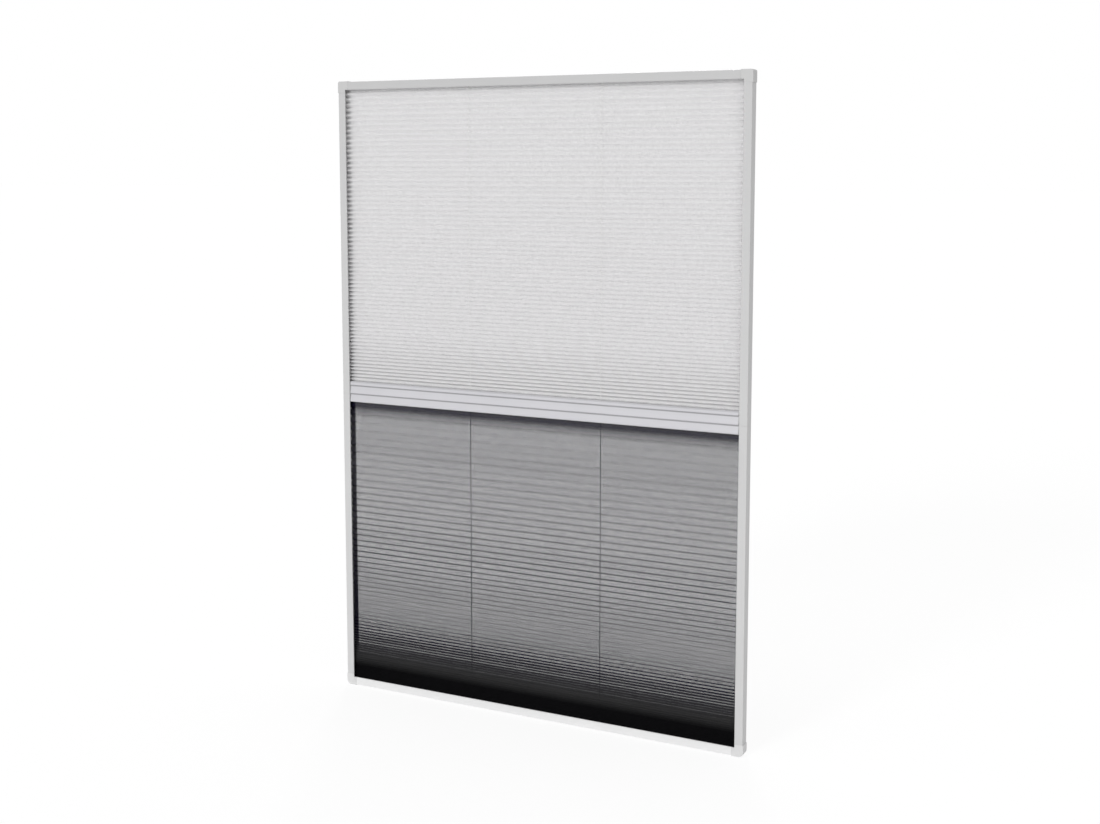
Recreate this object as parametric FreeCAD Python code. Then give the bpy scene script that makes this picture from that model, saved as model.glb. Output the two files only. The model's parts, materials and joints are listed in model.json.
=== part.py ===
import FreeCAD, Part
import math
import os

# Framed pleated window screen: a sun shade above, an insect mesh below and one sliding bar between.
# Millimetres. X runs across the window, Y from the room side to the window side, Z up.
# The origin is under the middle of the frame, level with its lowest edge.

# Frame
frame_width = 840.0
frame_height = 1200.0
frame_depth = 20.0
corner_proud = 1.0  # the corner pieces stand this far outside the profiles
corner_arm = 22.0  # length of a corner piece along each side
bottom_corner_radius = 9.0
top_corner_radius = 4.0
jamb_joint_height = 593.0  # where the two lengths of each jamb meet
butt_gap = 0.2  # between two ends that butt together

# Section of the frame profile: a closed chamber along the outside and a channel open inwards
profile_face = 15.0
profile_wall = 1.2
chamber_space = 4.2
profile_edge_radius = 0.8
channel_lip_width = 1.4
channel_lip_rise = 0.8

# Connectors pushed into the chambers
tenon_length = 30.0
tenon_clearance = 0.1
tenon_chamfer = 1.2
tenon_root = 1.0  # how far a tenon starts inside its corner piece
splice_length = 70.0

# Strips that hold the ends of the cloths in the rails
strip_base = 1.2
strip_leg = 0.8
strip_clearance = 0.2
strip_end_clearance = 2.0

# Cloths
cloth_centre = 1.0  # of the cloths and cords, behind the middle of the frame's depth
pleat_count = 68
facet_length = 12.6  # from one crease to the next
cloth_thickness = 0.45
cloth_end_clearance = 0.3
shade_sag = 0.21  # how much wider than the mean the highest pleat is stretched
mesh_sag = 0.90
packed_pitch = 4.5  # closer pleats than this lie packed together
cord_slot = 3.0

# Cords and what holds them
cord_offset = 136.0
cord_diameter = 1.2
cord_end_clearance = 0.5  # from a cord's end in the bar to the bar's mid height
cord_hole_diameter = 2.4  # in the chamber walls of the rails
anchor_side = 7.0
anchor_height = 3.2
anchor_clearance = 0.05

# Sliding bar
bar_rest_height = 577.0  # lower edge of the bar above the frame's lowest edge
bar_band_height = 16.5
bar_top_lip_height = 7.5
bar_front_setback = 0.5  # of the lips behind the front of the frame
bar_back_setback = 2.0
bar_groove_depth = 2.9  # of the root of each band behind its lip
bar_lip_height = 1.7
bar_lip_return = 0.8  # how far the lower edge of a lip falls back behind its front
bar_wall = 1.4
bar_edge_radius = 0.8
slot_mouth = 8.8
slot_undercut = 11.2
slot_lip = 1.2
slot_space = 2.4

# Sliders at the ends of the bar
collar_thickness = 1.2
slider_side_clearance = 0.4
slider_tongue = 25.0
slider_chamfer = 1.5
bar_frame_clearance = 1.0

# Flanged tubes that lead the cords through the bar
tube_flange_diameter = 5.6
tube_flange = 0.8
tube_diameter = 3.8
tube_bore_diameter = 1.8
tube_hole_clearance = 0.1

# Sizes that follow from the ones above
half_width = frame_width / 2 - corner_proud
half_depth = frame_depth / 2
profile_low = corner_proud
profile_high = frame_height - corner_proud
chamber_outer = chamber_space + 2 * profile_wall
channel_half = half_depth - profile_wall
mouth_half = channel_half - channel_lip_rise
corner_face = corner_proud + profile_face
rail_seat = profile_low + chamber_outer
strip_half = channel_half - strip_clearance
cloth_half = half_width - chamber_outer - strip_end_clearance
bar_height = 2 * bar_band_height + bar_top_lip_height
bar_front = -half_depth + bar_front_setback
bar_back = half_depth - bar_back_setback
bar_top = bar_rest_height + bar_height
slot_depth = slot_lip + slot_space
chamber_margin = slot_depth + bar_wall


def vec(x, y, z):
    return FreeCAD.Vector(x, y, z)


def box(x0, x1, y0, y1, z0, z1):
    return Part.makeBox(x1 - x0, y1 - y0, z1 - z0, vec(x0, y0, z0))


def rounded_wire(corners):
    """Closed wire in the XY plane through (x, y, radius) corners, each rounded by its radius."""
    edges = []
    ends = []
    count = len(corners)
    for i in range(count):
        x, y, radius = corners[i]
        here = vec(x, y, 0)
        back = vec(*corners[i - 1][:2], 0) - here
        ahead = vec(*corners[(i + 1) % count][:2], 0) - here
        back.normalize()
        ahead.normalize()
        if radius == 0:
            ends.append((here, here))
            continue
        half = back.getAngle(ahead) / 2
        reach = radius / math.tan(half)
        middle = back + ahead
        middle.normalize()
        apex = here + middle * (radius / math.sin(half) - radius)
        start = here + back * reach
        stop = here + ahead * reach
        edges.append(Part.Arc(start, apex, stop).toShape())
        ends.append((start, stop))
    for i in range(count):
        a = ends[i][1]
        b = ends[(i + 1) % count][0]
        if a.distanceToPoint(b) > 1e-6:
            edges.append(Part.LineSegment(a, b).toShape())
    return Part.Wire(Part.sortEdges(edges)[0])


def extrusion(corners, length):
    """Solid of a rounded outline in XY, extruded up from Z = 0."""
    return Part.Face(rounded_wire(corners)).extrude(vec(0, 0, length))


def mirror_x(shape):
    return shape.mirror(vec(0, 0, 0), vec(1, 0, 0))


def mirror_z(shape):
    return shape.mirror(vec(0, 0, frame_height / 2), vec(0, 0, 1))


def turned(profile, x, y, z):
    """Solid of revolution about a vertical axis at (x, y), from (radius, height) corners above z."""
    points = [vec(x + r, y, z + h) for r, h in profile]
    face = Part.Face(Part.makePolygon(points + points[:1]))
    return face.revolve(vec(x, y, 0), vec(0, 0, 1), 360)


def profile_bar(length):
    """Frame profile: X from its outer side inwards, Y through its depth, extruded along Z."""
    face = profile_face
    lip = face - channel_lip_width
    r = profile_edge_radius
    section = [(0, -half_depth, r), (face, -half_depth, 0), (face, -mouth_half, 0), (lip, -mouth_half, 0)]
    section += [(lip, -channel_half, 0), (chamber_outer, -channel_half, 0)]
    section += [(chamber_outer, channel_half, 0), (lip, channel_half, 0)]
    section += [(lip, mouth_half, 0), (face, mouth_half, 0), (face, half_depth, 0), (0, half_depth, r)]
    chamber = box(profile_wall, profile_wall + chamber_space, -channel_half, channel_half, 0, length)
    return extrusion(section, length).cut(chamber)


def jamb(z0, z1):
    """Left jamb profile between two heights."""
    piece = profile_bar(z1 - z0)
    piece.translate(vec(-half_width, 0, z0))
    return piece


def bottom_rail():
    """Bottom rail with its channel open upwards and the two holes for the cords."""
    half = frame_width / 2 - corner_arm - butt_gap
    piece = profile_bar(2 * half)
    piece.rotate(vec(0, 0, 0), vec(0, 1, 0), -90)
    piece.translate(vec(half, 0, profile_low))
    wall_low = profile_low + profile_wall + chamber_space
    for x in (-cord_offset, cord_offset):
        hole = Part.makeCylinder(cord_hole_diameter / 2, profile_wall, vec(x, cloth_centre, wall_low))
        piece = piece.cut(hole)
    return piece


def chamfered_plug(thickness, width, length, chamfers):
    """Flat plug along X from 0 to its length, its ends narrowed by a lead-in where chamfers says so."""
    half = width / 2
    c = tenon_chamfer
    start = [(0, half - c, 0), (0, -half + c, 0), (c, -half, 0)]
    if not chamfers[0]:
        start = [(0, half, 0), (0, -half, 0)]
    stop = [(length - c, -half, 0), (length, -half + c, 0), (length, half - c, 0), (length - c, half, 0)]
    outline = start + stop
    if chamfers[0]:
        outline = outline + [(c, half, 0)]
    return extrusion(outline, thickness)


def corner(outer_radius):
    """Bottom left corner piece: two arms with the profile's channel, a rounded outside and two tenons."""
    face = corner_face
    seat = corner_proud + chamber_outer
    outline = [(0, 0, outer_radius), (corner_arm, 0, 0), (corner_arm, face, 0)]
    outline += [(face, face, 0), (face, corner_arm, 0), (0, corner_arm, 0)]
    block = extrusion(outline, frame_depth)
    low = profile_wall
    high = frame_depth - profile_wall
    block = block.cut(box(seat, corner_arm, seat, corner_arm, low, high))
    lip = face - channel_lip_width
    for z in (low, high - channel_lip_rise):
        top = z + channel_lip_rise
        block = block.fuse(box(lip, corner_arm, lip, face, z, top))
        block = block.fuse(box(lip, face, lip, corner_arm, z, top))
    thickness = chamber_space - 2 * tenon_clearance
    width = 2 * (channel_half - tenon_clearance)
    plug = chamfered_plug(thickness, width, tenon_length + tenon_root, (False, True))
    plug.rotate(vec(0, 0, 0), vec(1, 0, 0), -90)
    plug.translate(vec(corner_arm - tenon_root, corner_proud + profile_wall + tenon_clearance, half_depth))
    other = plug.mirror(vec(0, 0, 0), vec(1, -1, 0))
    block = block.fuse(plug).fuse(other).removeSplitter()
    block.rotate(vec(0, 0, 0), vec(1, 0, 0), 90)
    block.translate(vec(-frame_width / 2, half_depth, 0))
    return block


def jamb_splice():
    """Flat plug inside the left jamb's chamber that lines up its two lengths."""
    thickness = chamber_space - 2 * tenon_clearance
    width = 2 * (channel_half - tenon_clearance)
    plug = chamfered_plug(thickness, width, splice_length, (True, True))
    plug.rotate(vec(0, 0, 0), vec(0, 1, 0), -90)
    left = -half_width + profile_wall + tenon_clearance + thickness
    plug.translate(vec(left, 0, jamb_joint_height - splice_length / 2))
    return plug


def cord_slots(z0, z1):
    """The square ways of both cords between two heights."""
    half = cord_slot / 2
    y0 = cloth_centre - half
    y1 = cloth_centre + half
    return [box(x - half, x + half, y0, y1, z0, z1) for x in (-cord_offset, cord_offset)]


def rail_strip():
    """Clip strip in the bottom rail: a base with two legs that stand under the channel lips."""
    base_low = rail_seat + strip_clearance / 2
    leg_high = profile_low + profile_face - channel_lip_width - (channel_lip_rise + strip_clearance) / 2
    inner = strip_half - strip_leg
    base_high = base_low + strip_base
    section = [(-strip_half, base_low, 0), (strip_half, base_low, 0), (strip_half, leg_high, 0)]
    section += [(inner, leg_high, 0), (inner, base_high, 0)]
    section += [(-inner, base_high, 0), (-inner, leg_high, 0), (-strip_half, leg_high, 0)]
    strip = extrusion(section, 2 * cloth_half)
    strip.rotate(vec(0, 0, 0), vec(1, 0, 0), 90)
    strip.rotate(vec(0, 0, 0), vec(0, 0, 1), 90)
    strip.translate(vec(-cloth_half, 0, 0))
    return strip.cut(cord_slots(base_low, base_high))


def pleat_half_depth(pitch):
    return math.sqrt(facet_length ** 2 - (pitch / 2) ** 2) / 2


def pleated_cloth(top, bottom, sag):
    """Pleated cloth between two heights. Its pitch falls evenly from the highest pleat to the lowest.

    Where the pleats would be closer than the packed pitch, they are one closed pack.
    """
    mean = (top - bottom) / pleat_count
    front = []
    back = []
    for i in range(2 * pleat_count + 1):
        k = i / 2
        pitch = mean * (1 + sag - 2 * sag * k / pleat_count)
        height = top - mean * (k * (1 + sag) - sag * k ** 2 / pleat_count)
        reach = pleat_half_depth(pitch)
        if pitch < packed_pitch:
            front += [(-reach, height), (-reach, bottom)]
            back += [(reach, height), (reach, bottom)]
            break
        band = 2 * cloth_thickness * facet_length / pitch
        if i % 2:
            front.append((-reach, height))
            back.append((-reach + band, height))
        else:
            front.append((reach - band, height))
            back.append((reach, height))
    outline = [vec(-cloth_half, cloth_centre + y, z) for y, z in front + back[::-1]]
    return Part.Face(Part.makePolygon(outline + outline[:1])).extrude(vec(2 * cloth_half, 0, 0))


def guide_cord(low, high):
    """Left cord of one cloth, straight and taut between two heights."""
    return Part.makeCylinder(cord_diameter / 2, high - low, vec(-cord_offset, cloth_centre, low))


def bottom_anchor():
    """Left cord anchor: a bored block against the inside of the bottom rail's chamber wall."""
    half = anchor_side / 2
    high = rail_seat - profile_wall
    x = -cord_offset
    block = box(x - half, x + half, cloth_centre - half, cloth_centre + half, high - anchor_height, high)
    radius = cord_diameter / 2 + anchor_clearance
    return block.cut(Part.makeCylinder(radius, chamber_space, vec(x, cloth_centre, high - chamber_space)))


def bar_outline():
    """Outline of the bar: Y through its depth, Z up from its lower edge. Its front is lapped bands."""
    root = bar_front + bar_groove_depth
    r = bar_edge_radius
    lows = [bar_height - bar_top_lip_height, bar_band_height, 0]
    outline = [(bar_back, 0, r), (bar_back, bar_height, r), (root, bar_height, r / 2)]
    for low in lows:
        outline.append((bar_front, low + bar_lip_height, r))
        outline.append((bar_front + bar_lip_return, low, r / 2))
        if low > 0:
            outline.append((root, low, 0))
    return outline


def along_bar(outline, x0, x1):
    """Solid of an outline in the bar's own Y and Z, from x0 to x1, at the bar's rest height."""
    piece = extrusion(outline, x1 - x0)
    piece.rotate(vec(0, 0, 0), vec(1, 0, 0), 90)
    piece.rotate(vec(0, 0, 0), vec(0, 0, 1), 90)
    piece.translate(vec(x0, 0, bar_rest_height))
    return piece


def rectangle(y0, y1, z0, z1):
    return [(y0, z0, 0), (y1, z0, 0), (y1, z1, 0), (y0, z1, 0)]


bar_end = half_width - profile_face - bar_frame_clearance - collar_thickness
chamber_front = bar_front + bar_groove_depth + bar_wall
chamber_back = bar_back - bar_wall
chamber_low = chamber_margin
chamber_high = bar_height - chamber_margin


def middle_bar():
    """Bar extrusion with a chamber, and an undercut slot along its top and its lower edge."""
    bar = along_bar(bar_outline(), -bar_end, bar_end)
    cuts = [rectangle(chamber_front, chamber_back, chamber_low, chamber_high)]
    mouth = (cloth_centre - slot_mouth / 2, cloth_centre + slot_mouth / 2)
    under = (cloth_centre - slot_undercut / 2, cloth_centre + slot_undercut / 2)
    cuts.append(rectangle(*mouth, 0, slot_lip))
    cuts.append(rectangle(*under, slot_lip, slot_depth))
    cuts.append(rectangle(*mouth, bar_height - slot_lip, bar_height))
    cuts.append(rectangle(*under, bar_height - slot_depth, bar_height - slot_lip))
    bar = bar.cut([along_bar(c, -bar_end, bar_end) for c in cuts])
    radius = tube_diameter / 2 + tube_hole_clearance
    for x in (-cord_offset, cord_offset):
        bar = bar.cut(Part.makeCylinder(radius, bar_height, vec(x, cloth_centre, bar_rest_height)))
    return bar


def bar_strip():
    """Strip in the bar's upper slot. Its rib fills the mouth level with the bar's top."""
    gap = strip_clearance / 2
    foot = bar_height - slot_depth + tube_flange + 2 * gap
    knee = bar_height - slot_lip - gap
    wide = slot_undercut / 2 - gap
    narrow = slot_mouth / 2 - gap
    c = cloth_centre
    outline = [(c - wide, foot, 0), (c + wide, foot, 0), (c + wide, knee, 0), (c + narrow, knee, 0)]
    outline += [(c + narrow, bar_height, 0), (c - narrow, bar_height, 0)]
    outline += [(c - narrow, knee, 0), (c - wide, knee, 0)]
    strip = along_bar(outline, -bar_end, bar_end)
    return strip.cut(cord_slots(bar_rest_height, bar_top))


def flipped_in_bar(shape):
    """The same piece turned over in the bar, about the bar's mid height."""
    return shape.mirror(vec(0, 0, bar_rest_height + bar_height / 2), vec(0, 0, 1))


def bar_slider():
    """Left slider: a tongue in the bar's chamber, a collar of the bar's outline and a head in the jamb."""
    collar_out = -bar_end - collar_thickness
    slider = along_bar(bar_outline(), collar_out, -bar_end)
    gap = tenon_clearance
    tongue = rectangle(chamber_front + gap, chamber_back - gap, chamber_low + gap, chamber_high - gap)
    slider = slider.fuse(along_bar(tongue, -bar_end, -bar_end + slider_tongue))
    neck_half = mouth_half - slider_side_clearance
    head_half = channel_half - slider_side_clearance
    c = slider_chamfer
    head_in = -half_width + profile_face - channel_lip_width - slider_side_clearance
    head_out = -half_width + chamber_outer + slider_side_clearance
    slider = slider.fuse(along_bar(rectangle(-neck_half, bar_back, 0, bar_height), head_in, collar_out))
    head = [(-head_half, c, 0), (-head_half + c, 0, 0), (head_half - c, 0, 0), (head_half, c, 0)]
    head += [(head_half, bar_height - c, 0), (head_half - c, bar_height, 0)]
    head += [(-head_half + c, bar_height, 0), (-head_half, bar_height - c, 0)]
    slider = slider.fuse(along_bar(head, head_out, head_in))
    return slider.removeSplitter()


def cord_tube():
    """Left flanged tube: its flange lies in the bar's upper slot and its foot ends in the lower slot."""
    bore = tube_bore_diameter / 2
    outer = tube_diameter / 2
    flange = tube_flange_diameter / 2
    top = bar_height - slot_depth
    foot = slot_depth - tube_flange
    outline = [(bore, foot), (outer, foot), (outer, top), (flange, top)]
    outline += [(flange, top + tube_flange), (bore, top + tube_flange)]
    return turned(outline, -cord_offset, cloth_centre, bar_rest_height)


def both_sides(shape):
    return Part.makeCompound([shape, mirror_x(shape)])


def build_parts():
    """Every piece by its node name."""
    parts = {}
    low = bottom_rail()
    parts["bottom_rail"] = low
    parts["top_rail"] = mirror_z(low)
    gap = butt_gap / 2
    lower = jamb(corner_arm + butt_gap, jamb_joint_height - gap)
    upper = jamb(jamb_joint_height + gap, frame_height - corner_arm - butt_gap)
    parts["left_jamb_lower"] = lower
    parts["left_jamb_upper"] = upper
    parts["right_jamb_lower"] = mirror_x(lower)
    parts["right_jamb_upper"] = mirror_x(upper)
    bottom_left = corner(bottom_corner_radius)
    top_left = mirror_z(corner(top_corner_radius))
    parts["corner_bottom_left"] = bottom_left
    parts["corner_bottom_right"] = mirror_x(bottom_left)
    parts["corner_top_left"] = top_left
    parts["corner_top_right"] = mirror_x(top_left)
    splice = jamb_splice()
    parts["jamb_splice_left"] = splice
    parts["jamb_splice_right"] = mirror_x(splice)
    strip = rail_strip()
    parts["mesh_bottom_strip"] = strip
    parts["shade_top_strip"] = mirror_z(strip)
    strip_top = rail_seat + strip_clearance / 2 + strip_base + cloth_end_clearance
    shade_low = bar_top + cloth_end_clearance
    mesh_high = bar_rest_height - cloth_end_clearance
    shade = pleated_cloth(frame_height - strip_top, shade_low, shade_sag)
    parts["pleated_shade"] = shade.cut(cord_slots(shade_low, frame_height - strip_top))
    parts["pleated_mesh"] = pleated_cloth(mesh_high, strip_top, mesh_sag)
    anchor_low = rail_seat - profile_wall - anchor_height
    bar_middle = bar_rest_height + bar_height / 2
    cord = guide_cord(bar_middle + cord_end_clearance, frame_height - anchor_low)
    parts["shade_cord_left"] = cord
    parts["shade_cord_right"] = mirror_x(cord)
    cord = guide_cord(anchor_low, bar_middle - cord_end_clearance)
    parts["mesh_cord_left"] = cord
    parts["mesh_cord_right"] = mirror_x(cord)
    anchors = both_sides(bottom_anchor())
    parts["bottom_cord_anchors"] = anchors
    parts["top_cord_anchors"] = mirror_z(anchors)
    parts["middle_bar"] = middle_bar()
    slider = bar_slider()
    parts["bar_slider_left"] = slider
    parts["bar_slider_right"] = mirror_x(slider)
    strip = bar_strip()
    parts["shade_bottom_strip"] = strip
    parts["mesh_top_strip"] = flipped_in_bar(strip)
    parts["bar_cord_tubes"] = both_sides(cord_tube())
    return parts


os.makedirs("parts", exist_ok=True)
for name, shape in build_parts().items():
    shape.exportStep("parts/" + name + ".step")
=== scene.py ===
import bpy
import json
import math
import random
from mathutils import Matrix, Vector, noise


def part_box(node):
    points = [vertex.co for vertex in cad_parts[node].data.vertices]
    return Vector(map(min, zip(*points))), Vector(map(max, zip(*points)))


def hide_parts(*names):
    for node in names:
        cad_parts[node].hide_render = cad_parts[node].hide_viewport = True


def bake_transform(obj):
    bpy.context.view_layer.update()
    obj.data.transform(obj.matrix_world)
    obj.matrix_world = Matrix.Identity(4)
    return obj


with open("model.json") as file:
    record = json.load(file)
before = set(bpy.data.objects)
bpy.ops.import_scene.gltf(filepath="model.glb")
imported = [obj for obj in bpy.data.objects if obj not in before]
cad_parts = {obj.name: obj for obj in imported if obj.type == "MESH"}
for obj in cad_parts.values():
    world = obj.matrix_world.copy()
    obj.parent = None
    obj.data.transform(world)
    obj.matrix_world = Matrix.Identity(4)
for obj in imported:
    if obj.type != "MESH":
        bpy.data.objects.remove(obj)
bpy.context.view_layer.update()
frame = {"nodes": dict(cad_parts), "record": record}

# Pleated window screen: white framed, a white sun shade above, a black insect mesh below, a bar between.
# Metres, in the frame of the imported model: X across the window, Y to the window side, Z up.

# Both cloths, as in the part's source
CLOTH_CENTRE = 0.001  # behind the middle of the frame's depth
PLEATS = 68
FACET = 0.0126  # from one crease to the next
CORD_X = 0.136

# How both cloths stray from their even folds
STRAY_DEPTH = 0.5  # most that a straying crease loses of its depth, as a share of how far it strays
RIPPLE_EDGE = 0.02  # height at either end of a cloth over which its ripple comes in
WAVE_SCALE = (5.0, 0.9)  # of the ripple up and down, per metre across and per facet
SHIFT_SCALE = (7.0, 1.7)  # of the ripple in depth
SHIFT_LAYER = 5.0  # keeps the two apart in the noise
NEAR_STOP = 0.25  # share of a column's width within which an even column gives way to a stop

# The shade's own detail
SHADE_PITCHES = ((0, 1.21), (68, 0.79))  # pleat number and its height, as a share of the mean
SHADE_UNEVEN = ((0, 0.02), (68, 0.02))  # pleat number and how far its creases stray, as a share of its height
SHADE_SEED = 11
SHADE_RIPPLE = 0.00002
SHADE_BOW = 0.00035  # how far a facet bows out of its plane
SHADE_COLUMNS = 26
ROWS_BY_CREASE = (0.0, 0.04, 0.2)  # places of the rows next to a crease, as shares of a facet
SHADE_CREASE = 0.0005  # height of a crease's rounded edge
VALLEY_SHADE_TONE = 0.62  # of the cloth in the painted shade deep in the lowest folds
VALLEY_FADE = (0.10, 0.26)  # from a back crease, as shares of a pleat's length, where that painted shade fades out
VALLEY_PLEATS = (54, 67)  # pleats over which it comes in, towards the bar
HOLE = 0.002  # punched in each facet for a cord
SHADE_THROUGH = 0.30  # share of the light that the cloth lets through
SHADE_COLOUR = (0.95, 0.944, 0.951)
# Darker, as painted shade towards the top of the shade
SHADE_TOP_COLOUR = (0.83, 0.827, 0.83)

# The insect mesh's own detail, with its pleats and their straying as for the shade
MESH_PITCHES = ((0, 1.90), (37, 0.92), (42, 0.66), (54, 0.48), (68, 0.26))
MESH_UNEVEN = ((0, 0.006), (38, 0.006), (46, 0.06), (54, 0.05), (68, 0.03))
MESH_SEED = 23
MESH_RIPPLE = 0.00005
DROOP = 0.0012  # how far the front creases hang below the back ones, where the pleats lie stacked
DROOP_FROM = 0.135  # height at which it begins
DROOP_FULL = 0.100  # height below which it is full
DROOP_CLEAR = 0.012  # height over the foot within which it fades out
MESH_COLUMNS = 8
THREADS = 11  # across each facet
THREAD_WIDTH = 0.00030
THREAD_HEIGHT = 0.00018
WARP_PITCH = 0.0011
WARP_SHARE = 0.60  # of the width, taken by the upright threads
SHADED_HEM = 0.012  # length of cloth under the bar closed as a stiffened hem and as painted shadow of the bar
SHADED_HEM_FADE = 0.033
SHADED_HEM_DENSITY = 0.84  # how far the weave is closed there
STACK_LIT_GREY = (40, 52)  # pleats over which the cloth turns to a painted highlight, the grey of its stacked creases where lit
STACK_BLACK = (52, 57)  # pleats over which that turns to black
# Pleat number and how far the weave is closed
STACK_DENSITY = ((38, 0.0), (43, 0.28), (50, 0.60), (54, 0.88), (58, 0.97))
MESH_COLOUR = (0.0060, 0.0046, 0.0190)
# Painted highlight of the stacked, lit creases
MESH_LIT_GREY = (0.060, 0.060, 0.061)
MESH_BLACK = (0.0052, 0.0050, 0.0060)

# Painted shade under the laps of the bar's front
BAR_LAPS = ((0.6175, 0.45), (0.6100, 1.0), (0.5935, 1.0))  # height of each lap and how much painted shade lies under it
LAP_SHADE = 0.0018  # height of the painted shade's full part
LAP_SHADE_FADE = 0.0012
LAP_EDGE = 0.0001  # reach of the painted shade over the lap's own edge
LAP_SHADE_TONE = 0.58  # of the coat's colour, in the painted shade under the laps

# Height at which a coat or the shade has its top colour, the end of the painted shade darkening them upwards
FRAME_TOP = 1.2

# Cords
CORD_RADIUS = 0.0006
CORD_SIDES = 10
CORD_RINGS = 120
STRAND_TURNS = 1.9  # waves of strands round the cord
STRAND_SCALE = 620.0  # and along each metre of it

# Camera
CAMERA_PLACE = Vector((1.245, -2.392, 1.037))
CAMERA_AZIMUTH = math.radians(26.86)
CAMERA_PITCH = math.radians(-6.52)
CAMERA_LENS = 48.2
CAMERA_SHIFT_Y = -0.070
SENSOR_WIDTH = 36.0
CAMERA_FAR = 100.0

# Light
AMBIENT = 0.58
SUN_SOFTNESS = math.radians(14.0)
ROOM_LIGHT = 1.15
ROOM_LIGHT_FROM = Vector((-0.25, -1.0, 0.45))
WINDOW_LIGHT = 0.75
WINDOW_LIGHT_FROM = Vector((-0.5, 1.0, 0.5))
LIGHT_DISTANCE = 3.0  # for its place alone, as a sun's light is the same from any distance

# Floor
FLOOR_REACH = 60.0
FLOOR_COLOUR = (0.92, 0.92, 0.92)
FLOOR_GLOW = 0.85  # share of the floor's look that is plain white; the rest takes light and shadow
FLOOR_WHITE = 1.045  # strength of that white

# Numbers of a colour Mix node's own sockets
MIX_FIRST = 6
MIX_SECOND = 7
MIX_RESULT = 2


def share_at(table, place):
    """Value at the place, on the straight lines between the table's (place, value) pairs."""
    for (a, low), (b, high) in zip(table, table[1:]):
        if place <= b:
            return low + (high - low) * (place - a) / (b - a)
    return table[-1][1]


def crease_line(top, bottom, pitches, uneven, seed, droop=lambda height: 0.0):
    """(y, z) of each crease from the top edge to the bottom edge, back and front in turn."""
    draw = random.Random(seed)
    facets = [share_at(pitches, (i + 0.5) / 2) for i in range(2 * PLEATS)]
    unit = (top - bottom) / sum(facets)
    creases = []
    height = top
    for i in range(2 * PLEATS + 1):
        drop = unit * facets[min(i, 2 * PLEATS - 1)]
        reach = math.sqrt(FACET ** 2 - drop ** 2) / 2
        side = -1 if i % 2 else 1
        place = height
        if 0 < i < 2 * PLEATS:
            stray = share_at(uneven, i / 2)
            place += 2 * drop * stray * draw.uniform(-1, 1)
            reach *= 1 - stray * STRAY_DEPTH * draw.random()
            place += side * droop(height) / 2
        creases.append((CLOTH_CENTRE + side * reach, place))
        height -= drop
    return creases


def facet_rows(creases, profile, edge=0.0, counted=None):
    """(y, z, length along the cloth, facet number, rise) of each row; profile is (share along, lift) pairs.

    A crease inside the cloth is an upright edge of the height given, and the rise is what that adds to z.
    Along the cloth each facet counts as the size counted, or as its own where that isn't given.
    """
    rows = []
    along = 0.0
    last = len(creases) - 2
    for i in range(last + 1):
        y0, z0 = creases[i]
        y1, z1 = creases[i + 1]
        size = math.hypot(y1 - y0, z1 - z0)
        length = counted or size
        normal = ((z0 - z1) / size, (y1 - y0) / size)
        start = -edge / 2 if i > 0 else 0.0
        stop = edge / 2 if i < last else 0.0
        for share, lift in profile(i):
            y = y0 + (y1 - y0) * share + normal[0] * lift
            z = z0 + (z1 - z0) * share + normal[1] * lift
            rise = start + (stop - start) * share
            rows.append((y, z + rise, along + length * share, i, rise))
        along += length + edge
    if rows[-1][1] > creases[-1][1]:
        y, z = creases[-1]
        rows.append((y, z, along, last, 0.0))
    return rows


def even_columns(half, count, stops=()):
    """X places from -half to half, with the stops among them."""
    places = [-half + 2 * half * i / count for i in range(count + 1)]
    near = NEAR_STOP * 2 * half / count
    places = [x for x in places if all(abs(x - s) > near for s in stops) or abs(x) == half]
    return sorted(places + list(stops))


def cloth_object(name, rows, columns, ripple, skip=lambda row, column: False):
    """Sheet from the rows and X columns. UVs are metres along the flat cloth."""
    top, bottom = rows[0][1], rows[-1][1]
    vertices = []
    for y, z, along, facet, rise in rows:
        free = min(1.0, (top - z) / RIPPLE_EDGE, (z - bottom) / RIPPLE_EDGE)
        for x in columns:
            wave = noise.noise(Vector((x * WAVE_SCALE[0], facet * WAVE_SCALE[1], 0.0)))
            shift = noise.noise(Vector((x * SHIFT_SCALE[0], facet * SHIFT_SCALE[1], SHIFT_LAYER)))
            vertices.append((x, y + ripple * free * shift, z + ripple * free * wave))
    faces = []
    wide = len(columns)
    for r in range(len(rows) - 1):
        for c in range(wide - 1):
            a = r * wide + c
            if skip(r, c):
                continue
            faces.append((a, a + 1, a + wide + 1, a + wide))
    mesh = bpy.data.meshes.new(name)
    mesh.from_pydata(vertices, [], faces)
    uv = mesh.uv_layers.new(name="UVMap")
    for loop in mesh.loops:
        r, c = divmod(loop.vertex_index, wide)
        uv.data[loop.index].uv = (columns[c], rows[r][2])
    mesh.polygons.foreach_set("use_smooth", [True] * len(mesh.polygons))
    obj = bpy.data.objects.new(name, mesh)
    bpy.context.scene.collection.objects.link(obj)
    return obj


def stretch_with_bar(obj, rises=None):
    """Bakes the piece's transform and takes each vertex's height, less its rise where rises are given.
    """
    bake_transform(obj)
    heights = [v.co.z for v in obj.data.vertices]
    if rises:
        heights = [height - rise for height, rise in zip(heights, rises)]


def new_material(name):
    material = bpy.data.materials.new(name)
    material.use_nodes = True
    nodes = material.node_tree.nodes
    return material, nodes, material.node_tree.links, nodes["Principled BSDF"]


def object_coords(nodes, links, scale=(1, 1, 1), source="Object"):
    coords = nodes.new("ShaderNodeTexCoord")
    mapping = nodes.new("ShaderNodeMapping")
    mapping.inputs["Scale"].default_value = scale
    links.new(coords.outputs[source], mapping.inputs["Vector"])
    return mapping.outputs["Vector"]


def noise_value(nodes, links, vector, scale, detail=2.0):
    texture = nodes.new("ShaderNodeTexNoise")
    texture.inputs["Scale"].default_value = scale
    texture.inputs["Detail"].default_value = detail
    links.new(vector, texture.inputs["Vector"])
    return texture.outputs["Fac"]


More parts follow.
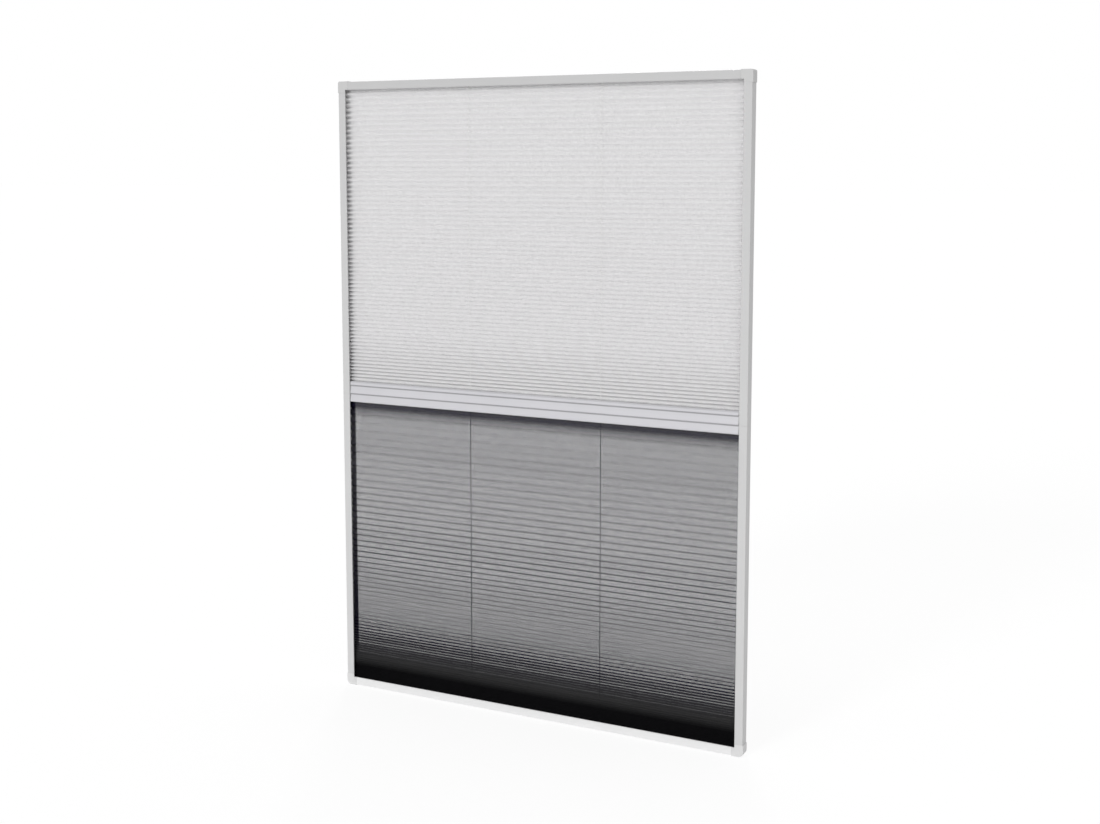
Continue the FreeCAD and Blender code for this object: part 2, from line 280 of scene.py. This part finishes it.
def remap(nodes, links, value, low, high, start=0.35, stop=0.65):
    """Low at the start, high at the stop; by default those are the ends of what a noise mostly gives."""
    node = nodes.new("ShaderNodeMapRange")
    node.inputs["From Min"].default_value = start
    node.inputs["From Max"].default_value = stop
    node.inputs["To Min"].default_value = low
    node.inputs["To Max"].default_value = high
    links.new(value, node.inputs["Value"])
    return node.outputs["Result"]


def stepped(nodes, links, value, table):
    """Value of a rising table of (place, value) pairs, on the straight lines between them."""
    total = 0.0
    for (a, low), (b, high) in zip(table, table[1:]):
        total = math_node(nodes, links, "ADD", remap(nodes, links, value, 0.0, high - low, a, b), total)
    return total


def math_node(nodes, links, operation, a, b=None):
    node = nodes.new("ShaderNodeMath")
    node.operation = operation
    for socket, value in zip(node.inputs, (a, b)):
        if value is None:
            continue
        if isinstance(value, (int, float)):
            socket.default_value = value
        else:
            links.new(value, socket)
    return node.outputs["Value"]


def tinted(nodes, links, factor, dark, light):
    ramp = nodes.new("ShaderNodeValToRGB")
    ramp.color_ramp.elements[0].position = 0.3
    ramp.color_ramp.elements[1].position = 0.7
    ramp.color_ramp.elements[0].color = (*dark, 1)
    ramp.color_ramp.elements[1].color = (*light, 1)
    links.new(factor, ramp.inputs["Fac"])
    return ramp.outputs["Color"]


def bump(nodes, links, height, distance, strength=1.0, under=None):
    node = nodes.new("ShaderNodeBump")
    node.inputs["Strength"].default_value = strength
    node.inputs["Distance"].default_value = distance
    links.new(height, node.inputs["Height"])
    if under is not None:
        links.new(under, node.inputs["Normal"])
    return node.outputs["Normal"]


def scaled(colour, factor):
    return tuple(min(c * factor, 1.0) for c in colour)


def mixed_colour(nodes, links, factor, first, second):
    """The first colour where the factor is 0, the second where it is 1; each a colour or a socket."""
    node = nodes.new("ShaderNodeMix")
    node.data_type = "RGBA"
    links.new(factor, node.inputs["Factor"])
    for socket, value in ((node.inputs[MIX_FIRST], first), (node.inputs[MIX_SECOND], second)):
        if isinstance(value, tuple):
            socket.default_value = (*value, 1)
        else:
            links.new(value, socket)
    return node.outputs[MIX_RESULT]


def shaded_upward(nodes, links, vector, shown, top_colour):
    """Painted shade: the colour shown at the foot of the frame, darkening into the top colour at its head."""
    split = nodes.new("ShaderNodeSeparateXYZ")
    links.new(vector, split.inputs["Vector"])
    rise = remap(nodes, links, split.outputs["Z"], 0.0, 1.0, 0.0, FRAME_TOP)
    return mixed_colour(nodes, links, rise, shown, top_colour)


def powder_coat(name, colour, top_colour=None, laps=()):
    """Satin powder coat on an extrusion: orange peel, faint cloudiness, painted shade under the laps of its
    front and, where a top colour is given, painted shade towards the top.
    """
    material, nodes, links, shader = new_material(name)
    vector = object_coords(nodes, links)
    cloud = noise_value(nodes, links, vector, scale=14.0, detail=3.0)
    shown = tinted(nodes, links, cloud, scaled(colour, 0.985), scaled(colour, 1.015))
    # Painted shade: the coat darker towards the top
    if top_colour:
        shown = shaded_upward(nodes, links, vector, shown, top_colour)
    # Painted shade: the coat darker just under each lap of the front
    if laps:
        split = nodes.new("ShaderNodeSeparateXYZ")
        links.new(vector, split.inputs["Vector"])
        lap_shade = 0.0
        for height, amount in laps:
            below = remap(nodes, links, split.outputs["Z"], 0.0, 1.0,
                          height - LAP_SHADE - LAP_SHADE_FADE, height - LAP_SHADE)
            near = math_node(nodes, links, "LESS_THAN", split.outputs["Z"], height + LAP_EDGE)
            here = math_node(nodes, links, "MULTIPLY", below, near)
            here = math_node(nodes, links, "MULTIPLY", here, amount)
            lap_shade = math_node(nodes, links, "MAXIMUM", here, lap_shade)
        front = math_node(nodes, links, "LESS_THAN", split.outputs["Y"], 0.0)
        lap_shade = math_node(nodes, links, "MULTIPLY", lap_shade, front)
        shown = mixed_colour(nodes, links, lap_shade, shown, scaled(colour, LAP_SHADE_TONE))
    links.new(shown, shader.inputs["Base Color"])
    peel = noise_value(nodes, links, vector, scale=700.0, detail=1.0)
    grain = noise_value(nodes, links, vector, scale=4200.0, detail=2.0)
    normal = bump(nodes, links, grain, distance=0.00003, strength=0.35)
    normal = bump(nodes, links, peel, distance=0.00008, strength=0.5, under=normal)
    links.new(normal, shader.inputs["Normal"])
    links.new(remap(nodes, links, peel, low=0.38, high=0.5), shader.inputs["Roughness"])
    shader.inputs["Specular IOR Level"].default_value = 0.45
    return material


def moulded_plastic(name, colour, rough=0.5, top_colour=None):
    """Moulded plastic with a spark-eroded grain."""
    material, nodes, links, shader = new_material(name)
    vector = object_coords(nodes, links)
    cloud = noise_value(nodes, links, vector, scale=40.0, detail=2.0)
    shown = tinted(nodes, links, cloud, scaled(colour, 0.98), scaled(colour, 1.015))
    # Painted shade: the plastic darker towards the top
    if top_colour:
        shown = shaded_upward(nodes, links, vector, shown, top_colour)
    links.new(shown, shader.inputs["Base Color"])
    grain = noise_value(nodes, links, vector, scale=2600.0, detail=3.0)
    links.new(bump(nodes, links, grain, distance=0.00006, strength=0.6), shader.inputs["Normal"])
    links.new(remap(nodes, links, grain, low=rough - 0.06, high=rough + 0.08), shader.inputs["Roughness"])
    return material


def shade_cloth(name, colour, top_colour):
    """White non-woven cloth: long fibres across the width, faint streaks, painted shade deep in the lowest
    folds and painted shade darkening it upwards.
    """
    material, nodes, links, shader = new_material(name)
    streaks = object_coords(nodes, links, (2.5, 160.0, 1.0), "UV")
    fibres = object_coords(nodes, links, (260.0, 2400.0, 1.0), "UV")
    felt = object_coords(nodes, links, (900.0, 900.0, 1.0), "UV")
    thick = noise_value(nodes, links, streaks, scale=1.0, detail=4.0)
    fibre = noise_value(nodes, links, fibres, scale=1.0, detail=3.0)
    lump = noise_value(nodes, links, felt, scale=1.0, detail=2.0)
    mixed = math_node(nodes, links, "ADD", math_node(nodes, links, "MULTIPLY", thick, 0.85),
                      math_node(nodes, links, "MULTIPLY", fibre, 0.15))
    shown = tinted(nodes, links, mixed, scaled(colour, 0.993), scaled(colour, 1.006))
    # Painted shade: the cloth darker towards the top
    shown = shaded_upward(nodes, links, object_coords(nodes, links), shown, top_colour)
    flat = nodes.new("ShaderNodeSeparateXYZ")
    links.new(object_coords(nodes, links, (1, 1, 1), "UV"), flat.inputs["Vector"])
    pleat = math_node(nodes, links, "DIVIDE", flat.outputs["Y"], 2 * (FACET + SHADE_CREASE))
    turn = math_node(nodes, links, "FRACT", pleat)
    from_front = math_node(nodes, links, "ABSOLUTE", math_node(nodes, links, "SUBTRACT", turn, 0.5))
    from_back = math_node(nodes, links, "SUBTRACT", 0.5, from_front)
    # Painted shade deep in the valleys of the lowest folds
    fold_shade = remap(nodes, links, from_back, 1.0, 0.0, *VALLEY_FADE)
    lowest = remap(nodes, links, pleat, 0.0, 1.0, *VALLEY_PLEATS)
    fold_shade = math_node(nodes, links, "MULTIPLY", fold_shade, lowest)
    shown = mixed_colour(nodes, links, fold_shade, shown, scaled(colour, VALLEY_SHADE_TONE))
    links.new(shown, shader.inputs["Base Color"])
    normal = bump(nodes, links, lump, distance=0.00001, strength=0.1)
    normal = bump(nodes, links, fibre, distance=0.00001, strength=0.12, under=normal)
    links.new(normal, shader.inputs["Normal"])
    links.new(remap(nodes, links, fibre, low=0.8, high=0.95), shader.inputs["Roughness"])
    shader.inputs["Sheen Weight"].default_value = 0.15
    shader.inputs["Sheen Roughness"].default_value = 0.6
    shader.inputs["Specular IOR Level"].default_value = 0.2
    through = nodes.new("ShaderNodeBsdfTranslucent")
    through.inputs["Color"].default_value = (*colour, 1)
    mix = nodes.new("ShaderNodeMixShader")
    mix.inputs["Fac"].default_value = SHADE_THROUGH
    links.new(shader.outputs["BSDF"], mix.inputs[1])
    links.new(through.outputs["BSDF"], mix.inputs[2])
    links.new(mix.outputs["Shader"], nodes["Material Output"].inputs["Surface"])
    return material


def insect_mesh(name, colour, lit_grey, black):
    """Black woven insect mesh: the cross threads are ribs of the sheet, the upright ones a pattern on it.

    It has the first colour where it hangs open, and where its pleats are stacked a grey painted highlight,
    then black.
    """
    material, nodes, links, shader = new_material(name)
    flat = object_coords(nodes, links, (1, 1, 1), "UV")
    split = nodes.new("ShaderNodeSeparateXYZ")
    links.new(flat, split.inputs["Vector"])
    fold = math_node(nodes, links, "FLOOR", math_node(nodes, links, "DIVIDE", split.outputs["Y"], FACET))
    phase = nodes.new("ShaderNodeTexWhiteNoise")
    phase.noise_dimensions = "1D"
    links.new(fold, phase.inputs["W"])
    place = math_node(nodes, links, "DIVIDE", split.outputs["X"], WARP_PITCH)
    column = math_node(nodes, links, "FRACT", math_node(nodes, links, "ADD", place, phase.outputs["Value"]))
    warp = math_node(nodes, links, "LESS_THAN", column, WARP_SHARE)
    pitch = FACET / THREADS
    row = math_node(nodes, links, "FRACT", math_node(nodes, links, "DIVIDE", split.outputs["Y"], pitch))
    off = math_node(nodes, links, "ABSOLUTE", math_node(nodes, links, "SUBTRACT", row, 0.5))
    weft = math_node(nodes, links, "LESS_THAN", off, THREAD_WIDTH / 2 / pitch)
    # A stiffened hem and painted shadow of the bar: the weave closed just under the bar
    shaded_hem = remap(nodes, links, split.outputs["Y"], SHADED_HEM_DENSITY, 0.0, SHADED_HEM, SHADED_HEM + SHADED_HEM_FADE)
    pleat = math_node(nodes, links, "DIVIDE", split.outputs["Y"], 2 * FACET)
    stack = stepped(nodes, links, pleat, STACK_DENSITY)
    woven = math_node(nodes, links, "MAXIMUM", warp, weft)
    closed = math_node(nodes, links, "MAXIMUM", shaded_hem, stack)
    links.new(math_node(nodes, links, "MAXIMUM", woven, closed), shader.inputs["Alpha"])
    lengths = object_coords(nodes, links, (30.0, 400.0, 1.0), "UV")
    tone = noise_value(nodes, links, lengths, scale=1.0, detail=3.0)
    shown = tinted(nodes, links, tone, scaled(colour, 0.8), scaled(colour, 1.25))
    # Painted highlight in grey where the stacked creases are lit, then black
    for pleats, turned in ((STACK_LIT_GREY, lit_grey), (STACK_BLACK, black)):
        shown = mixed_colour(nodes, links, remap(nodes, links, pleat, 0.0, 1.0, *pleats), shown, turned)
    links.new(shown, shader.inputs["Base Color"])
    threads = object_coords(nodes, links, (3500.0, 9000.0, 1.0), "UV")
    twist = noise_value(nodes, links, threads, scale=1.0, detail=2.0)
    links.new(bump(nodes, links, twist, distance=0.00004, strength=0.6), shader.inputs["Normal"])
    links.new(remap(nodes, links, twist, low=0.7, high=0.85), shader.inputs["Roughness"])
    shader.inputs["Specular IOR Level"].default_value = 0.1
    return material


def braid(name, colour):
    """Thin braided cord: two crossing families of strands."""
    material, nodes, links, shader = new_material(name)
    vector = object_coords(nodes, links, (1, 1, 1), "UV")
    heights = []
    for turn in (1.0, -1.0):
        wave = nodes.new("ShaderNodeTexWave")
        wave.bands_direction = "DIAGONAL"
        wave.inputs["Scale"].default_value = 1.0
        mapping = nodes.new("ShaderNodeMapping")
        mapping.inputs["Scale"].default_value = (turn * STRAND_TURNS, STRAND_SCALE, 1.0)
        links.new(vector, mapping.inputs["Vector"])
        links.new(mapping.outputs["Vector"], wave.inputs["Vector"])
        heights.append(wave.outputs["Fac"])
    strands = math_node(nodes, links, "MAXIMUM", heights[0], heights[1])
    # Darker where the strands dip: painted shade in the grooves between them
    shown = tinted(nodes, links, strands, scaled(colour, 0.7), scaled(colour, 1.1))
    links.new(shown, shader.inputs["Base Color"])
    links.new(bump(nodes, links, strands, distance=0.00012, strength=0.8), shader.inputs["Normal"])
    links.new(remap(nodes, links, strands, low=0.9, high=0.65), shader.inputs["Roughness"])
    return material


def make_shade():
    low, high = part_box("pleated_shade")
    creases = crease_line(high.z, low.z, SHADE_PITCHES, SHADE_UNEVEN, SHADE_SEED)
    half_hole = HOLE / 2 / FACET
    upper = [*ROWS_BY_CREASE, 0.5 - half_hole]
    shares = upper + [1 - share for share in reversed(upper)]
    hole_row = len(ROWS_BY_CREASE)

    def profile(i):
        side = 1 if i % 2 else -1
        return [(s, side * SHADE_BOW * math.sin(math.pi * s)) for s in shares]

    rows = facet_rows(creases, profile, SHADE_CREASE, FACET)
    stops = [side * CORD_X + end * HOLE / 2 for side in (-1, 1) for end in (-1, 1)]
    columns = even_columns(high.x, SHADE_COLUMNS, stops)
    hole_columns = [columns.index(stops[0]), columns.index(stops[2])]
    shade = cloth_object(
        "shade_cloth", rows, columns, SHADE_RIPPLE,
        lambda r, c: c in hole_columns and r % len(shares) == hole_row,
    )
    shade.data.materials.append(shade_cloth("shade_non_woven", SHADE_COLOUR, SHADE_TOP_COLOUR))
    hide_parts("pleated_shade")
    stretch_with_bar(shade, [rise for _, _, _, _, rise in rows for _ in columns])


def make_mesh():
    low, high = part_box("pleated_mesh")

    def droop(height):
        clear = min(1.0, (height - low.z) / DROOP_CLEAR)
        return DROOP * clear * min(max((DROOP_FROM - height) / (DROOP_FROM - DROOP_FULL), 0.0), 1.0)

    creases = crease_line(high.z, low.z, MESH_PITCHES, MESH_UNEVEN, MESH_SEED, droop)
    half = THREAD_WIDTH / 2 / FACET

    def profile(i):
        side = 1 if i % 2 else -1
        marks = [(0.0, 0.0)]
        for thread in range(THREADS):
            middle = (thread + 0.5) / THREADS
            marks += [(middle - half, 0.0), (middle, side * THREAD_HEIGHT), (middle + half, 0.0)]
        return marks

    rows = facet_rows(creases, profile)
    mesh = cloth_object("insect_mesh", rows, even_columns(high.x, MESH_COLUMNS), MESH_RIPPLE)
    mesh.data.materials.append(insect_mesh("mesh_woven", MESH_COLOUR, MESH_LIT_GREY, MESH_BLACK))
    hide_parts("pleated_mesh")
    stretch_with_bar(mesh)


def make_cord(name, slot, material):
    """Round braided cord in the place of its node, from its anchor to inside the bar."""
    low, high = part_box(name)
    x = (low.x + high.x) / 2
    y = (low.y + high.y) / 2
    vertices = []
    for ring in range(CORD_RINGS + 1):
        z = low.z + (high.z - low.z) * ring / CORD_RINGS
        for side in range(CORD_SIDES):
            angle = 2 * math.pi * side / CORD_SIDES
            vertices.append((x + CORD_RADIUS * math.cos(angle), y + CORD_RADIUS * math.sin(angle), z))
    faces = []
    for ring in range(CORD_RINGS):
        for side in range(CORD_SIDES):
            a = ring * CORD_SIDES + side
            b = ring * CORD_SIDES + (side + 1) % CORD_SIDES
            faces.append((a, b, b + CORD_SIDES, a + CORD_SIDES))
    faces.append(tuple(range(CORD_SIDES))[::-1])
    faces.append(tuple(CORD_RINGS * CORD_SIDES + side for side in range(CORD_SIDES)))
    mesh = bpy.data.meshes.new(name + "_braid")
    mesh.from_pydata(vertices, [], faces)
    uv = mesh.uv_layers.new(name="UVMap")
    for polygon in mesh.polygons:
        for place, index in enumerate(polygon.loop_indices):
            ring, side = divmod(mesh.loops[index].vertex_index, CORD_SIDES)
            if len(polygon.vertices) == 4 and side == 0 and place in (1, 2):
                side = CORD_SIDES
            uv.data[index].uv = (side / CORD_SIDES, vertices[ring * CORD_SIDES][2])
    mesh.polygons.foreach_set("use_smooth", [len(p.vertices) == 4 for p in mesh.polygons])
    cord = bpy.data.objects.new(name + "_braid", mesh)
    bpy.context.scene.collection.objects.link(cord)
    cord.data.materials.append(material)
    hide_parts(name)
    if slot == "shade_cord":
        stretch_with_bar(cord)
    else:
        stretch_with_bar(cord)


def dress_nodes():
    """Better materials for the nodes that stay."""
    coats = {
        # Painted shade: the frame's coat and the corners darker towards their top
        "frame_coat": powder_coat("frame_powder_coat", (0.68, 0.68, 0.68), (0.585, 0.585, 0.587)),
        "bar_coat": powder_coat("bar_powder_coat", (0.615, 0.61, 0.64), laps=BAR_LAPS),
        "corner_plastic": moulded_plastic("corner_moulding", (0.76, 0.76, 0.76), 0.5, (0.58, 0.58, 0.58)),
        "inner_plastic": moulded_plastic("inner_moulding", (0.66, 0.66, 0.65)),
        "strip_plastic": moulded_plastic("strip_extrusion", (0.76, 0.76, 0.76), 0.42),
        # Grey, darker than the other plastics, as painted shade at the bar's ends
        "slider_plastic": moulded_plastic("slider_moulding", (0.46, 0.46, 0.47), 0.4),
        "tube_plastic": moulded_plastic("tube_moulding", (0.72, 0.72, 0.72), 0.4),
    }
    slots = {entry["node"]: entry["material_slot"] for entry in frame["record"]["subparts"]}
    for name, obj in frame["nodes"].items():
        if slots[name] not in coats:
            continue
        obj.data.materials.clear()
        obj.data.materials.append(coats[slots[name]])
    # Lit and shaded copies of the one coat: the top rail darker as painted shade, the bottom rail lighter as
    # painted light
    for name, colour in (("top_rail", (0.56, 0.56, 0.562)), ("bottom_rail", (0.90, 0.90, 0.90))):
        frame["nodes"][name].data.materials[0] = powder_coat(name + "_powder_coat", colour)


def broad_light(name, source, strength):
    """Soft light from the source's direction, the same over the whole floor."""
    data = bpy.data.lights.new(name, "SUN")
    data.energy = strength
    data.angle = SUN_SOFTNESS
    light = bpy.data.objects.new(name, data)
    light.location = source * LIGHT_DISTANCE
    light.rotation_euler = (-source).to_track_quat("-Z", "Y").to_euler()
    bpy.context.scene.collection.objects.link(light)


def make_floor():
    """Plain white floor that fades to the backdrop's white but keeps the object's shadow."""
    reach = FLOOR_REACH
    corners = [(-reach, -reach, 0), (reach, -reach, 0), (reach, reach, 0), (-reach, reach, 0)]
    mesh = bpy.data.meshes.new("floor")
    mesh.from_pydata(corners, [], [(0, 1, 2, 3)])
    floor = bpy.data.objects.new("floor", mesh)
    bpy.context.scene.collection.objects.link(floor)
    material, nodes, links, shader = new_material("floor_white")
    shader.inputs["Base Color"].default_value = (*FLOOR_COLOUR, 1)
    shader.inputs["Roughness"].default_value = 0.9
    shader.inputs["Specular IOR Level"].default_value = 0.0
    glow = nodes.new("ShaderNodeEmission")
    glow.inputs["Strength"].default_value = FLOOR_WHITE
    path = nodes.new("ShaderNodeLightPath")
    mix = nodes.new("ShaderNodeMixShader")
    seen = math_node(nodes, links, "MULTIPLY", path.outputs["Is Camera Ray"], FLOOR_GLOW)
    links.new(seen, mix.inputs["Fac"])
    links.new(shader.outputs["BSDF"], mix.inputs[1])
    links.new(glow.outputs["Emission"], mix.inputs[2])
    links.new(mix.outputs["Shader"], nodes["Material Output"].inputs["Surface"])
    mesh.materials.append(material)


def make_world():
    """White where the camera looks, an even soft light on the object."""
    world = bpy.data.worlds.new("studio")
    world.use_nodes = True
    bpy.context.scene.world = world
    nodes = world.node_tree.nodes
    links = world.node_tree.links
    background = nodes["Background"]
    background.inputs["Color"].default_value = (1, 1, 1, 1)
    path = nodes.new("ShaderNodeLightPath")
    seen = math_node(nodes, links, "MAXIMUM", path.outputs["Is Camera Ray"], path.outputs["Is Glossy Ray"])
    seen = math_node(nodes, links, "MAXIMUM", seen, path.outputs["Is Transmission Ray"])
    level = remap(nodes, links, seen, AMBIENT, 1.0, 0.0, 1.0)
    links.new(level, background.inputs["Strength"])


def make_camera():
    data = bpy.data.cameras.new("camera")
    data.lens = CAMERA_LENS
    data.sensor_width = SENSOR_WIDTH
    data.shift_y = CAMERA_SHIFT_Y
    data.clip_end = CAMERA_FAR
    camera = bpy.data.objects.new("camera", data)
    camera.location = CAMERA_PLACE
    flat = math.cos(CAMERA_PITCH)
    across = -math.sin(CAMERA_AZIMUTH) * flat
    ahead = Vector((across, math.cos(CAMERA_AZIMUTH) * flat, math.sin(CAMERA_PITCH)))
    camera.rotation_mode = "QUATERNION"
    camera.rotation_quaternion = ahead.to_track_quat("-Z", "Y")
    bpy.context.scene.collection.objects.link(camera)
    bpy.context.scene.camera = camera


make_camera()
dress_nodes()
make_shade()
make_mesh()
white_braid = braid("shade_cord_braid", (0.86, 0.86, 0.85))
black_braid = braid("mesh_cord_braid", (0.004, 0.004, 0.005))
for side in ("left", "right"):
    make_cord("shade_cord_" + side, "shade_cord", white_braid)
    make_cord("mesh_cord_" + side, "mesh_cord", black_braid)
make_floor()
make_world()
broad_light("room_light", ROOM_LIGHT_FROM, ROOM_LIGHT)
broad_light("window_light", WINDOW_LIGHT_FROM, WINDOW_LIGHT)
bpy.context.scene.view_settings.view_transform = "Standard"
